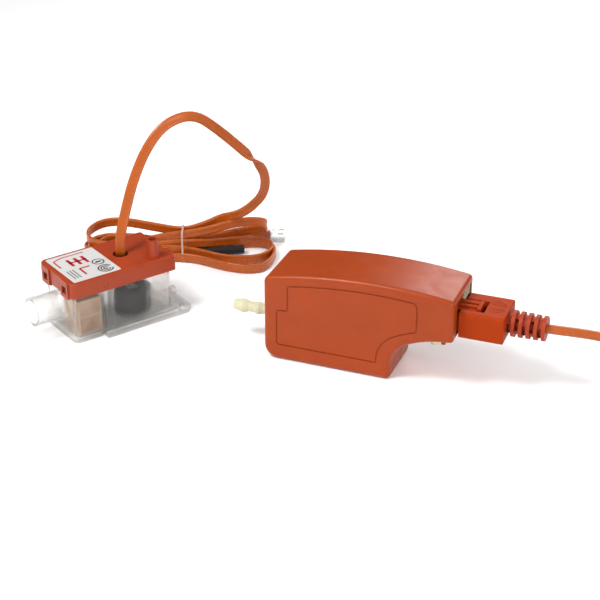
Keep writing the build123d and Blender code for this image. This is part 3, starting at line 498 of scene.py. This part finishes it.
# the hank's strands, each a list of (s, d, z) in millimetres
HANK_STRANDS = (
    # in along the top to the left lobe, and round it
    ((26, 14, 23.5), (14, 8, 20), (0, 4.4, 17.2), (-20, 14, 16.5), (-44, 25, 16)),
    ((-58, 25, 14.5), (-67, 14, 12.5), (-64, 3, 10.5), (-50, -6, 11), (-30, -5, 13)),
    ((-14, -1.5, 16), (0, 0.8, 16.8)),
    # broad band at the top of the right lobe, folded back behind itself
    ((16, 3.5, 18.4), (30, 8, 21), (42, 10, 22.6), (53, 9.5, 22.8), (57, 16.5, 17)),
    ((53, 24, 10.6), (42, 22, 10.4), (28, 13.5, 10.8), (14, 6, 11.4), (0, 1.5, 11.6)),
    # middle of the left lobe
    ((-18, 3, 10.5), (-38, 12, 9.5), (-52, 15.5, 8.5), (-64, 10, 7.5), (-64, -3, 6)),
    ((-50, -9, 5), (-34, -8, 4.2), (-16, -7, 3.4)),
    # widest loop of the right lobe, on the floor
    ((0, -6.2, 3.4), (14, -11, 3.4), (28, -20, 3.4), (44, -25, 3.4), (56, -22, 3.4)),
    ((62, -6, 3.4), (62, 8, 3.4), (54, 17, 3.4), (38, 15, 3.4), (20, 9.5, 3.4)),
    # low on the left lobe
    ((0, 6.3, 3.6), (-20, 12, 4), (-42, 20, 3.4), (-57, 19.5, 3.4), (-68, 11, 4)),
    ((-66, -1, 5.5), (-52, -5.5, 7), (-36, -4.5, 8), (-16, -4, 8.5)),
    # middle loop of the right lobe
    ((0, -3.4, 8), (14, -4, 4.8), (28, -9, 3.4), (42, -10.5, 3.4), (53, -8, 3.4)),
    ((60.5, 1, 3.4), (60.5, 12, 4), (51, 18.5, 5.2), (36, 12.5, 7), (20, 7, 8)),
    # last turn on the left, then out over the hose to the plug
    ((0, 4.4, 8.8), (-18, 9, 8.5), (-34, 14, 8.5), (-48, 14.5, 8.5), (-58, 6, 8.5)),
    ((-54, -6, 9), (-38, -9, 10), (-14, -3, 11.5), (0, -1, 11.5), (14, 3, 9.5)),
    ((28, 12, 6), (40, 21, 3.8)),
)
PLUG_MIDDLE = Vector((-0.097, 0.1345, 0))
PLUG_YAW = math.radians(17)
STRAIGHT_OUT_TOP = 0.05


def at_plug(x, y, z):
    """A point in millimetres along the modular plug's own axes."""
    along = Vector((math.cos(PLUG_YAW), math.sin(PLUG_YAW), 0))
    across = Vector((-math.sin(PLUG_YAW), math.cos(PLUG_YAW), 0))
    return PLUG_MIDDLE + (along * x + across * y + Vector((0, 0, z))) * MM


cable_controls = [cable_exit, Vector((cable_exit.x, cable_exit.y, STRAIGHT_OUT_TOP))]
cable_controls += [Vector(point) * MM for point in LOOP_ROUTE_MM]
for strand in HANK_STRANDS:
    cable_controls += [at_hank(*point) for point in strand]
cable_controls += [at_plug(-12, -0.6, 3.35), at_plug(-6, 0, 3.3), at_plug(-1, 0, 3.3)]
cable_path = spline_points("cable_path", cable_controls, 6)

# which way the cable's width points, by the distance along it in millimetres; it makes a
# half twist on the way down from the top of its loop
RIGHTWARD = Vector((0.93, 0.36, 0))
UPWARD = Vector((-0.166, 0.433, 0.886))
OUTWARD = Vector((0.318, -0.827, 0.464))
WIDTH_HINTS = (
    (0, RIGHTWARD),
    (62, RIGHTWARD),
    (103, -UPWARD),
    (130, -RIGHTWARD * 0.62 - UPWARD * 0.78),
    (156, -RIGHTWARD * 0.62 - UPWARD * 0.78),
    (165, OUTWARD),
    (175, RIGHTWARD * 0.83 + UPWARD * 0.55),
    (195, RIGHTWARD),
    (218, RIGHTWARD * 0.8 - UPWARD * 0.6),
    (245, Vector((0, 0, -1))),
)
SECTION_POINTS = 20
SECTION_ROUNDNESS_WIDE = 0.7
SECTION_ROUNDNESS_DEEP = 0.6
GROOVE_DEPTH = 0.5
GROOVE_SHARE = 0.2


def width_hint(distance):
    """The direction of the cable's width at a distance along it."""
    for (start, first), (stop, second) in zip(WIDTH_HINTS, WIDTH_HINTS[1:]):
        if distance <= stop:
            return first.lerp(second, (distance - start) / (stop - start))
    return WIDTH_HINTS[-1][1]


def cable_section():
    """The flat cable's outline: round edges, and a shallow groove along each face."""
    outline = []
    for step in range(SECTION_POINTS):
        angle = 2 * math.pi * step / SECTION_POINTS
        across = math.copysign(abs(math.cos(angle)) ** SECTION_ROUNDNESS_WIDE, math.cos(angle))
        through = math.copysign(abs(math.sin(angle)) ** SECTION_ROUNDNESS_DEEP, math.sin(angle))
        groove = 1 - GROOVE_DEPTH * math.exp(-((across / GROOVE_SHARE) ** 2))
        outline.append((across * CABLE_WIDTH / 2, through * groove * CABLE_THICKNESS / 2))
    return outline


def flat_cable(name, path):
    """A mesh of the flat cable along a path, turned by the width hints."""
    mesh = bmesh.new()
    rings = []
    outline = cable_section()
    distance = 0.0
    for index, point in enumerate(path):
        before = path[max(index - 1, 0)]
        after = path[min(index + 1, len(path) - 1)]
        tangent = (after - before).normalized()
        distance += (point - before).length / MM
        hint = width_hint(distance)
        across = (hint - tangent * hint.dot(tangent)).normalized()
        through = tangent.cross(across)
        rings.append(
            [mesh.verts.new(point + across * wide + through * deep) for wide, deep in outline]
        )
    for ring, following in zip(rings, rings[1:]):
        for corner in range(SECTION_POINTS):
            nearby = (corner + 1) % SECTION_POINTS
            mesh.faces.new((ring[corner], ring[nearby], following[nearby], following[corner]))
    mesh.faces.new(rings[0][::-1])
    mesh.faces.new(rings[-1])
    bmesh.ops.recalc_face_normals(mesh, faces=mesh.faces)
    return finished_mesh(name, mesh)


sensor_cable = flat_cable("sensor_cable", cable_path)
sensor_cable.data.materials.append(cable_sheath)
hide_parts("cable_loop", "cable_hank")
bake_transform(sensor_cable)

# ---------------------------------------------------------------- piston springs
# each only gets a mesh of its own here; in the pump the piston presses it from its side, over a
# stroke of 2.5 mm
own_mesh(nodes["return_spring"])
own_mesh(nodes["damping_spring"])

# ---------------------------------------------------------------- inlet filter
FILTER_LOW = (6.0, 5.6, 1.9)
FILTER_HIGH = (21.4, 25.0, 24.6)
FILTER_BAR = 0.6
BOX_FACES = (
    (0, 1, 3, 2),
    (4, 6, 7, 5),
    (0, 4, 5, 1),
    (2, 3, 7, 6),
    (0, 2, 6, 4),
    (1, 5, 7, 3),
)


def reservoir_box(mesh, low, high):
    """A box between two corners, in the reservoir's own millimetres."""
    corners = [
        mesh.verts.new(at_reservoir(u, w, z))
        for u in (low[0], high[0])
        for w in (low[1], high[1])
        for z in (low[2], high[2])
    ]
    for face in BOX_FACES:
        mesh.faces.new([corners[index] for index in face])


def filter_frame():
    """The moulded bars of the filter: edges, two upright ribs an end, a level one a side."""
    mesh = bmesh.new()
    (u0, w0, z0), (u1, w1, z1) = FILTER_LOW, FILTER_HIGH
    third = (w1 - w0) / 3
    for u in (u0, u1 - FILTER_BAR):
        for z in (z0, z1 - FILTER_BAR):
            reservoir_box(mesh, (u, w0, z), (u + FILTER_BAR, w1, z + FILTER_BAR))
        for w in (w0, w0 + third, w1 - third, w1 - FILTER_BAR):
            reservoir_box(mesh, (u, w, z0), (u + FILTER_BAR, w + FILTER_BAR, z1))
    for w in (w0, w1 - FILTER_BAR):
        for z in (z0, (z0 + z1) / 2, z1 - FILTER_BAR):
            reservoir_box(mesh, (u0, w, z), (u1, w + FILTER_BAR, z + FILTER_BAR))
    return finished_mesh("filter_frame", mesh, False)


def filter_screen():
    """The mesh held inside the bars."""
    mesh = bmesh.new()
    inset = FILTER_BAR / 3
    low = [value + inset for value in FILTER_LOW]
    high = [value - inset for value in FILTER_HIGH]
    reservoir_box(mesh, low, high)
    return finished_mesh("filter_screen", mesh, False)


for filter_piece, filter_look in ((filter_frame(), filter_nylon), (filter_screen(), filter_cloth)):
    filter_piece.data.materials.append(filter_look)
    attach(filter_piece, "units")
    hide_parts("inlet_filter")

# ---------------------------------------------------------------- print on the label
INK_FINISH = {"rough": 0.35, "mottle": 0.04, "grain": 900, "grain_height": 0.01 * MM}
red_ink = moulded("red_ink", linear(170, 26, 34), **INK_FINISH)
black_ink = moulded("black_ink", linear(30, 30, 32), **INK_FINISH)
LABEL_TOP = 40.15
INK_THICKNESS = 0.03
ARC_STEPS = 28


def ink_strip(mesh, points, width):
    """A printed line of one width through (u, w) points."""
    for (u0, w0), (u1, w1) in zip(points, points[1:]):
        run = Vector((u1 - u0, w1 - w0))
        side = Vector((-run.y, run.x)).normalized() * width / 2
        ends = ((u0 - side.x, w0 - side.y), (u1 - side.x, w1 - side.y))
        ends += ((u1 + side.x, w1 + side.y), (u0 + side.x, w0 + side.y))
        corners = [at_reservoir(u, w, LABEL_TOP + INK_THICKNESS) for u, w in ends]
        mesh.faces.new([mesh.verts.new(corner) for corner in corners])


def arc(middle, radius, first, last):
    """Points of an arc about a (u, w) middle, in the reservoir's millimetres and degrees."""
    points = []
    for step in range(ARC_STEPS + 1):
        angle = math.radians(first + (last - first) * step / ARC_STEPS)
        points.append((middle[0] + radius * math.cos(angle), middle[1] + radius * math.sin(angle)))
    return points


def print_piece(name, strips, look):
    """One colour of print on the label."""
    mesh = bmesh.new()
    for points, width in strips:
        ink_strip(mesh, points, width)
    piece = finished_mesh(name, mesh, False)
    piece.data.materials.append(look)
    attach(piece, "lid")
    return piece


# a strip is its (u, w) points and its width: open rings, a ring with a bar, fine lines
black_strips = [(arc((28.5, 9.5), radius, 20, 340), 0.9) for radius in (1.2, 2.9, 4.6)]
black_strips += [(arc((29.0, 20.0), 3.6, 0, 360), 0.8), ([(27.0, 20), (31.0, 20)], 1.6)]
black_strips += [([(u, 7), (u, 19)], 0.6) for u in (6.5, 8.5, 10.5)]
# three bars with a crossbar, a corner line, and a border along two sides
red_strips = [([(u, 23), (u, 33)], 2.2) for u in (14, 19, 24)]
red_strips += [([(12.9, 28), (25.1, 28)], 1.6), ([(15, 9), (15, 18), (22, 18)], 1.4)]
red_strips += [([(6, 25), (6, 35), (12, 37.5), (28, 37.5)], 1.0)]
print_piece("label_print_black", black_strips, black_ink)
print_piece("label_print_red", red_strips, red_ink)

# ---------------------------------------------------------------- stage and light
FLOOR_HALF = 3.0
FLOOR_GAP = 0.1 * MM
FLOOR_SHADE = (253, 253, 253)
floor_mesh = bmesh.new()
bmesh.ops.create_grid(floor_mesh, x_segments=1, y_segments=1, size=FLOOR_HALF)
floor = finished_mesh("floor", floor_mesh, False)
floor.location = (0, 0, -FLOOR_GAP)
floor_look, _, floor_shader = node_material("floor_white")
floor_shader.inputs["Base Color"].default_value = linear(*FLOOR_SHADE)
floor_shader.inputs["Roughness"].default_value = 0.6
floor_shader.inputs["Specular IOR Level"].default_value = 0.15
floor.data.materials.append(floor_look)

# an even white surround, dim towards the back, which the top faces mirror
SURROUND = 0.78
SURROUND_BACK = 0.12
BACK_DIRECTION = (-0.05, 0.92, 0.39)
DIM_FROM = 0.3
DIM_FULLY = 0.8
world = bpy.data.worlds.new("studio")
bpy.context.scene.world = world
world.use_nodes = True
world_tree = world.node_tree
direction = world_tree.nodes.new("ShaderNodeTexCoord")
facing = world_tree.nodes.new("ShaderNodeVectorMath")
facing.operation = "DOT_PRODUCT"
facing.inputs[1].default_value = BACK_DIRECTION
world_tree.links.new(direction.outputs["Generated"], facing.inputs[0])
world_tree.links.new(
    ranged(world_tree, facing.outputs["Value"], SURROUND, SURROUND_BACK, DIM_FROM, DIM_FULLY),
    world_tree.nodes["Background"].inputs["Strength"],
)
world_tree.nodes["Background"].inputs["Color"].default_value = (1, 1, 1, 1)
bpy.context.scene.view_settings.view_transform = "Standard"


LIGHT_TARGET = Vector((0, 0, 0.03))


def softbox(name, place, size, power):
    """A square area light aimed at the pump."""
    data = bpy.data.lights.new(name, "AREA")
    data.shape = "SQUARE"
    data.size = size
    data.energy = power
    box = bpy.data.objects.new(name, data)
    box.location = place
    box.rotation_euler = (LIGHT_TARGET - Vector(place)).to_track_quat("-Z", "Y").to_euler()
    bpy.context.scene.collection.objects.link(box)


softbox("key", (-0.4, -0.42, 0.95), size=0.3, power=8)
softbox("fill", (0.7, -0.6, 0.5), size=0.5, power=3)
softbox("rim", (0.1, 0.8, 0.6), size=0.5, power=4)
